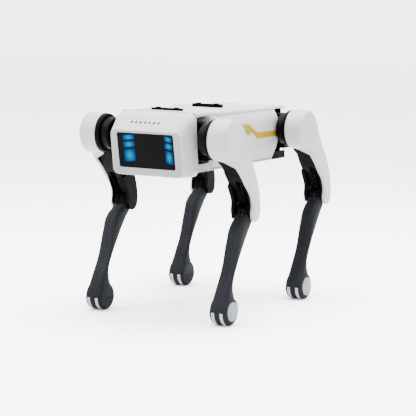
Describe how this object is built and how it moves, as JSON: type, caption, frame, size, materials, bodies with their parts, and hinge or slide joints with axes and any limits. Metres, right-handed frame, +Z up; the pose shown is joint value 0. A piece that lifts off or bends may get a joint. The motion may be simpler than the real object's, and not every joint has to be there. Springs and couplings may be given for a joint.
{
  "type": "quadruped robot dog",
  "caption": "Four-legged robot dog with a flat display face, white shells, dark shins and round feet, powered hips and knees, and tapped payload rails on its back.",
  "frame": {"origin": "on the floor under the middle of the robot, at the bottom centre of its bounding box", "axes": "+Z up, -Y towards the front (the display), +X towards the dog's left side"},
  "size_m": [0.418, 0.6128, 0.519],
  "materials": {
    "white_shell": "satin white moulded shell",
    "black_structure": "matt black moulded structure",
    "motor_housing": "black anodised",
    "link_steel": "blackened steel",
    "dark_slate": "fine-textured dark slate",
    "foot_rubber": "moulded dark rubber",
    "pale_trim": "pale blue-grey satin",
    "display_glass": "glossy black display panel",
    "display_light": "lit blue blocks",
    "yellow_stripe": "printed yellow inlay",
    "battery_case": "dark case",
    "circuit_board": "green solder mask"
  },
  "bodies": {
    "torso": {"head_shell": "white_shell", "display_panel": "display_glass", "display_lights": "display_light", "body_top_cover": "white_shell", "side_panel_left": "white_shell", "side_panel_right": "white_shell", "belly_tray": "white_shell", "chassis_frame": "black_structure", "payload_rail_front": "black_structure", "payload_rail_rear": "black_structure", "top_plugs": "black_structure", "battery_pack": "battery_case", "control_board": "circuit_board", "roll_motors": "motor_housing", "side_stripes": "yellow_stripe", "rear_cover": "black_structure"},
    "front_left_hip": {"front_left_hip_link": "black_structure", "front_left_pitch_motor": "motor_housing"},
    "front_left_thigh": {"front_left_thigh_cover": "white_shell", "front_left_thigh_frame": "black_structure", "front_left_knee_motor": "motor_housing"},
    "front_left_crank": {"front_left_knee_crank": "link_steel"},
    "front_left_rod": {"front_left_knee_rod": "link_steel"},
    "front_left_shin": {"front_left_shin_outer_shell": "dark_slate", "front_left_shin_inner_shell": "dark_slate", "front_left_foot_pad": "foot_rubber", "front_left_foot_trim": "pale_trim"},
    "front_right_hip": {"front_right_hip_link": "black_structure", "front_right_pitch_motor": "motor_housing"},
    "front_right_thigh": {"front_right_thigh_cover": "white_shell", "front_right_thigh_frame": "black_structure", "front_right_knee_motor": "motor_housing"},
    "front_right_crank": {"front_right_knee_crank": "link_steel"},
    "front_right_rod": {"front_right_knee_rod": "link_steel"},
    "front_right_shin": {"front_right_shin_outer_shell": "dark_slate", "front_right_shin_inner_shell": "dark_slate", "front_right_foot_pad": "foot_rubber", "front_right_foot_trim": "pale_trim"},
    "rear_left_hip": {"rear_left_hip_link": "black_structure", "rear_left_pitch_motor": "motor_housing"},
    "rear_left_thigh": {"rear_left_thigh_cover": "white_shell", "rear_left_thigh_frame": "black_structure", "rear_left_knee_motor": "motor_housing"},
    "rear_left_crank": {"rear_left_knee_crank": "link_steel"},
    "rear_left_rod": {"rear_left_knee_rod": "link_steel"},
    "rear_left_shin": {"rear_left_shin_outer_shell": "dark_slate", "rear_left_shin_inner_shell": "dark_slate", "rear_left_foot_pad": "foot_rubber", "rear_left_foot_trim": "pale_trim"},
    "rear_right_hip": {"rear_right_hip_link": "black_structure", "rear_right_pitch_motor": "motor_housing"},
    "rear_right_thigh": {"rear_right_thigh_cover": "white_shell", "rear_right_thigh_frame": "black_structure", "rear_right_knee_motor": "motor_housing"},
    "rear_right_crank": {"rear_right_knee_crank": "link_steel"},
    "rear_right_rod": {"rear_right_knee_rod": "link_steel"},
    "rear_right_shin": {"rear_right_shin_outer_shell": "dark_slate", "rear_right_shin_inner_shell": "dark_slate", "rear_right_foot_pad": "foot_rubber", "rear_right_foot_trim": "pale_trim"}
  },
  "joints": [
    {"name": "front_left_hip_roll", "type": "hinge", "parent": "torso", "child": "front_left_hip", "pos_m": [0.072, -0.20025, 0.45], "axis": [0, 1, 0], "range_deg": [-18, 12]},
    {"name": "front_left_hip_pitch", "type": "hinge", "parent": "front_left_hip", "child": "front_left_thigh", "pos_m": [0.156, -0.23425, 0.45], "axis": [1, 0, 0], "range_deg": [-40, 40]},
    {"name": "front_left_knee", "type": "hinge", "parent": "front_left_thigh", "child": "front_left_shin", "pos_m": [0.18, -0.12225, 0.268], "axis": [1, 0, 0], "range_deg": [-70, 40]},
    {"name": "front_left_crank_turn", "type": "hinge", "parent": "front_left_thigh", "child": "front_left_crank", "pos_m": [0.187, -0.23425, 0.45], "axis": [1, 0, 0], "range_deg": [-70, 40]},
    {"name": "front_left_rod_turn", "type": "hinge", "parent": "front_left_crank", "child": "front_left_rod", "pos_m": [0.18, -0.22233, 0.45734], "axis": [1, 0, 0], "range_deg": [-40, 70]},
    {"name": "front_right_hip_roll", "type": "hinge", "parent": "torso", "child": "front_right_hip", "pos_m": [-0.072, -0.20025, 0.45], "axis": [0, 1, 0], "range_deg": [-12, 18]},
    {"name": "front_right_hip_pitch", "type": "hinge", "parent": "front_right_hip", "child": "front_right_thigh", "pos_m": [-0.156, -0.23425, 0.45], "axis": [1, 0, 0], "range_deg": [-40, 40]},
    {"name": "front_right_knee", "type": "hinge", "parent": "front_right_thigh", "child": "front_right_shin", "pos_m": [-0.18, -0.12225, 0.268], "axis": [1, 0, 0], "range_deg": [-70, 40]},
    {"name": "front_right_crank_turn", "type": "hinge", "parent": "front_right_thigh", "child": "front_right_crank", "pos_m": [-0.187, -0.23425, 0.45], "axis": [1, 0, 0], "range_deg": [-70, 40]},
    {"name": "front_right_rod_turn", "type": "hinge", "parent": "front_right_crank", "child": "front_right_rod", "pos_m": [-0.18, -0.22233, 0.45734], "axis": [1, 0, 0], "range_deg": [-40, 70]},
    {"name": "rear_left_hip_roll", "type": "hinge", "parent": "torso", "child": "rear_left_hip", "pos_m": [0.072, 0.20175, 0.45], "axis": [0, 1, 0], "range_deg": [-18, 12]},
    {"name": "rear_left_hip_pitch", "type": "hinge", "parent": "rear_left_hip", "child": "rear_left_thigh", "pos_m": [0.156, 0.16775, 0.45], "axis": [1, 0, 0], "range_deg": [-40, 40]},
    {"name": "rear_left_knee", "type": "hinge", "parent": "rear_left_thigh", "child": "rear_left_shin", "pos_m": [0.18, 0.27975, 0.268], "axis": [1, 0, 0], "range_deg": [-70, 40]},
    {"name": "rear_left_crank_turn", "type": "hinge", "parent": "rear_left_thigh", "child": "rear_left_crank", "pos_m": [0.187, 0.16775, 0.45], "axis": [1, 0, 0], "range_deg": [-70, 40]},
    {"name": "rear_left_rod_turn", "type": "hinge", "parent": "rear_left_crank", "child": "rear_left_rod", "pos_m": [0.18, 0.17967, 0.45734], "axis": [1, 0, 0], "range_deg": [-40, 70]},
    {"name": "rear_right_hip_roll", "type": "hinge", "parent": "torso", "child": "rear_right_hip", "pos_m": [-0.072, 0.20175, 0.45], "axis": [0, 1, 0], "range_deg": [-12, 18]},
    {"name": "rear_right_hip_pitch", "type": "hinge", "parent": "rear_right_hip", "child": "rear_right_thigh", "pos_m": [-0.156, 0.16775, 0.45], "axis": [1, 0, 0], "range_deg": [-40, 40]},
    {"name": "rear_right_knee", "type": "hinge", "parent": "rear_right_thigh", "child": "rear_right_shin", "pos_m": [-0.18, 0.27975, 0.268], "axis": [1, 0, 0], "range_deg": [-70, 40]},
    {"name": "rear_right_crank_turn", "type": "hinge", "parent": "rear_right_thigh", "child": "rear_right_crank", "pos_m": [-0.187, 0.16775, 0.45], "axis": [1, 0, 0], "range_deg": [-70, 40]},
    {"name": "rear_right_rod_turn", "type": "hinge", "parent": "rear_right_crank", "child": "rear_right_rod", "pos_m": [-0.18, 0.17967, 0.45734], "axis": [1, 0, 0], "range_deg": [-40, 70]}
  ],
  "couplings": [
    {"joint": "front_left_crank_turn", "follows": "front_left_knee", "ratio": 1},
    {"joint": "front_left_rod_turn", "follows": "front_left_knee", "ratio": -1},
    {"joint": "front_right_crank_turn", "follows": "front_right_knee", "ratio": 1},
    {"joint": "front_right_rod_turn", "follows": "front_right_knee", "ratio": -1},
    {"joint": "rear_left_crank_turn", "follows": "rear_left_knee", "ratio": 1},
    {"joint": "rear_left_rod_turn", "follows": "rear_left_knee", "ratio": -1},
    {"joint": "rear_right_crank_turn", "follows": "rear_right_knee", "ratio": 1},
    {"joint": "rear_right_rod_turn", "follows": "rear_right_knee", "ratio": -1}
  ]
}
